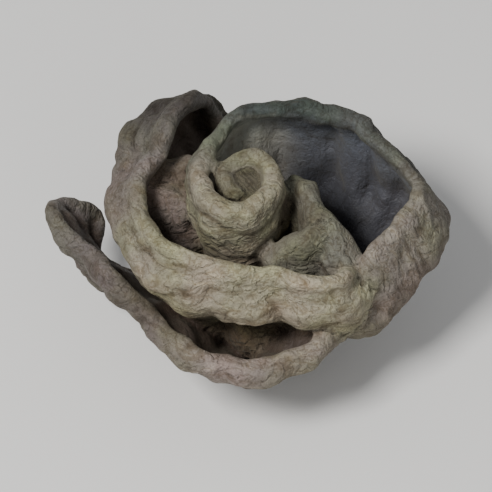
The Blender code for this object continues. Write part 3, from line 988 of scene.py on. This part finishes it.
def flesh_material():
    """Downy, olive to tan outside and bare, brown to blue-grey inside, with painted shade in its
    crevices, creases and lower parts, and painted highlights on its ridges and margins.
    """
    g = Graph("dried flesh")
    millimetres = g.millimetres()
    sheet = g.attribute("sheet", "Vector")
    outer = g.attribute("outer")
    below = g.attribute("below_margin")
    seen = g.attribute("open")
    relief = g.attribute("relief")
    lie = g.attribute("lie")

    elsewhere = g.vector_maths("ADD", millimetres, (31.0, 17.0, 5.0))
    clouds = g.grain(millimetres, scale=0.28)
    stains = g.grain(elsewhere, scale=0.4, detail=4.0, roughness=0.6)
    patches = g.grain(millimetres, scale=1.1, detail=4.0, roughness=0.6)
    down = g.grain(millimetres, scale=8.0, detail=2.0, roughness=0.7)
    specks = g.grain(millimetres, scale=3.4, detail=2.0, roughness=0.5)
    upward = g.grain(g.scaled(sheet, (2.2, 0.4, 1.0)), detail=4.0, roughness=0.65)
    lengthwise = g.grain(g.scaled(sheet, (0.4, 2.2, 1.0)), detail=4.0, roughness=0.65)
    streaks = g.blend(lie, upward, lengthwise)
    bent = g.warped(sheet, scale=0.9, amount=1.2)
    rising = g.aside(g.scaled(bent, (1.1, 0.3, 1.0)))
    running = g.aside(g.scaled(bent, (0.3, 1.1, 1.0)))
    netted = g.aside(g.warped(millimetres, scale=1.2, amount=0.8), detail=2.0)
    aside = g.maths("MINIMUM", g.blend(lie, rising, running), netted)
    creases = g.ramp(aside, 0.028, 0.0)

    tan = g.tinted(g.attribute("outer_colour", "Color"), [
        (g.ramp(clouds, 0.40, 0.66), (0.92, 0.99, 0.82)),
        (g.ramp(clouds, 0.46, 0.26), (1.05, 0.97, 0.98)),
        (g.ramp(stains, 0.52, 0.74), (0.66, 0.60, 0.52)),
        (g.ramp(patches, 0.50, 0.76), (1.34, 1.34, 1.30)),
        (g.ramp(patches, 0.50, 0.28), (0.66, 0.63, 0.57)),
        (g.ramp(streaks, 0.52, 0.74), (1.34, 1.32, 1.26)),
        (g.ramp(streaks, 0.46, 0.28), (0.60, 0.57, 0.52)),
        (g.ramp(specks, 0.66, 0.78), (0.55, 0.50, 0.44)),
        # painted shade along the creases and in the hollows of the relief, and painted highlights on its
        # ridges
        (creases, (0.70, 0.66, 0.60)),
        (g.ramp(relief, 0.0, -0.10), (0.45, 0.40, 0.34)),
        (g.ramp(relief, 0.0, 0.10), (1.28, 1.27, 1.22)),
        (g.ramp(down, 0.52, 0.76), (1.35, 1.35, 1.35)),
        (g.ramp(down, 0.48, 0.26), (0.62, 0.60, 0.56)),
    ])
    brown = g.tinted(g.attribute("inner_colour", "Color"), [
        (g.ramp(clouds, 0.40, 0.64), (1.15, 1.14, 1.06)),
        (g.ramp(stains, 0.50, 0.70), (0.75, 0.70, 0.66)),
        (g.ramp(streaks, 0.50, 0.28), (0.62, 0.58, 0.55)),
        (g.ramp(patches, 0.52, 0.76), (1.25, 1.25, 1.22)),
        # painted highlights on the ridges of the relief, and painted shade along the creases
        (g.ramp(relief, 0.0, 0.05), (1.20, 1.20, 1.18)),
        (creases, (0.86, 0.83, 0.80)),
        # painted light near the margin, and painted shade deeper down the inner side
        (g.ramp(below, 3.0, 1.0), (1.22, 1.22, 1.18)),
        (g.ramp(below, 4.0, 8.0), (0.84, 0.82, 0.82)),
    ])

    rim = g.ramp(below, RIM_REACH, 0.2)
    sided = g.maths("ADD", outer, g.maths("MULTIPLY", rim, 0.7), clamp=True)
    wavering = g.maths("ADD", sided, g.maths("MULTIPLY", g.maths("SUBTRACT", patches, 0.5), 0.7))
    flesh = g.tinted(g.mix(g.ramp(wavering, 0.15, 0.85), brown, tan), [
        # painted highlight along each margin, and painted shade farther down each lobe
        (g.ramp(below, 0.9, 0.1), (1.20, 1.19, 1.15)),
        (g.ramp(below, 1.8, 5.0), (0.74, 0.69, 0.65)),
        # painted shade: darker where the skin sees little of the sky, in its crevices
        (g.ramp(seen, 0.50, 0.18), (0.82, 0.74, 0.68)),
        (g.ramp(seen, 0.20, 0.04), (0.75, 0.68, 0.62)),
    ])

    g.feed(g.surface.inputs["Base Color"], flesh)
    g.feed(g.surface.inputs["Roughness"], g.ramp(outer, 0.2, 0.8, to_low=0.6, to_high=0.93))
    g.surface.inputs["Specular IOR Level"].default_value = 0.3
    g.surface.inputs["Sheen Weight"].default_value = 0.08
    g.surface.inputs["Sheen Roughness"].default_value = 0.6
    g.surface.inputs["Sheen Tint"].default_value = colour(226, 216, 192)

    depth = g.maths("MULTIPLY", g.ramp(aside, 0.0, 0.11), g.ramp(outer, 0.2, 0.8, to_low=0.3))
    folded = g.bump(depth, strength=0.7, distance=0.00013)
    wrinkled = g.bump(streaks, strength=0.6, distance=0.00018, normal=folded)
    soft = g.bump(patches, strength=0.5, distance=0.00025, normal=wrinkled)
    velvet = g.bump(down, strength=0.7, distance=0.00007, normal=soft)
    g.feed(g.surface.inputs["Normal"], velvet)
    return g.material


def cut_material():
    """The bare, fibrous flesh where the foot was cut."""
    g = Graph("cut foot")
    millimetres = g.millimetres()
    fibres = g.grain(millimetres, scale=1.6, detail=5.0, roughness=0.7)
    fine = g.grain(millimetres, scale=6.0, detail=2.0, roughness=0.6)
    shade = g.mix(g.ramp(fibres, 0.35, 0.65), colour(70, 56, 44), colour(116, 99, 78))
    shade = g.mix(g.ramp(fine, 0.55, 0.75, to_high=0.5), shade, colour(142, 126, 102))
    g.feed(g.surface.inputs["Base Color"], shade)
    g.surface.inputs["Roughness"].default_value = 0.9
    g.feed(g.surface.inputs["Normal"], g.bump(fibres, strength=0.6, distance=0.0002))
    return g.material


def floor_material():
    g = Graph("pale floor")
    mottle = g.grain(g.millimetres(), scale=0.02, detail=2.0)
    g.feed(g.surface.inputs["Base Color"], g.mix(mottle, colour(214, 212, 208), colour(220, 218, 214)))
    g.surface.inputs["Roughness"].default_value = 0.8
    return g.material


def make_floor():
    half = FLOOR_HALF
    corners = [(-half, -half, 0), (half, -half, 0), (half, half, 0), (-half, half, 0)]
    floor = new_object("floor", corners, [(0, 1, 2, 3)])
    floor.data.materials.append(floor_material())


def add_light(name, place, size, power, target):
    """A square lamp that shines on the target."""
    lamp = bpy.data.lights.new(name, "AREA")
    lamp.size = size
    lamp.energy = power
    obj = bpy.data.objects.new(name, lamp)
    obj.location = place
    obj.rotation_euler = (Vector(place) - target).to_track_quat("Z", "Y").to_euler()
    bpy.context.scene.collection.objects.link(obj)


def make_lights(target):
    add_light("key", *KEY_LIGHT, target)
    add_light("fill", *FILL_LIGHT, target)
    world = bpy.data.worlds.new("studio")
    world.use_nodes = True
    background = world.node_tree.nodes["Background"]
    background.inputs["Color"].default_value = SKY
    background.inputs["Strength"].default_value = SKY_STRENGTH
    bpy.context.scene.world = world


def make_camera(target):
    """The camera, in front of the target and above it."""
    back = Vector((0.0, -math.cos(CAMERA_ELEVATION), math.sin(CAMERA_ELEVATION)))
    lens = bpy.data.cameras.new("camera")
    lens.clip_start = CAMERA_NEAREST
    lens.angle = 2 * math.atan(CAMERA_VIEW / 2 / CAMERA_DISTANCE)
    camera = bpy.data.objects.new("camera", lens)
    camera.location = target + back * CAMERA_DISTANCE
    camera.rotation_euler = back.to_track_quat("Z", "Y").to_euler()
    bpy.context.scene.collection.objects.link(camera)
    bpy.context.scene.camera = camera


ear = make_ear()
ear.data.materials.append(flesh_material())
ear.data.materials.append(cut_material())
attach(ear, "root")
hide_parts("wood_ear")

make_floor()
low, high = cad_box
middle = (Vector(low) + Vector(high)) / 2
make_lights(middle)
make_camera(middle)
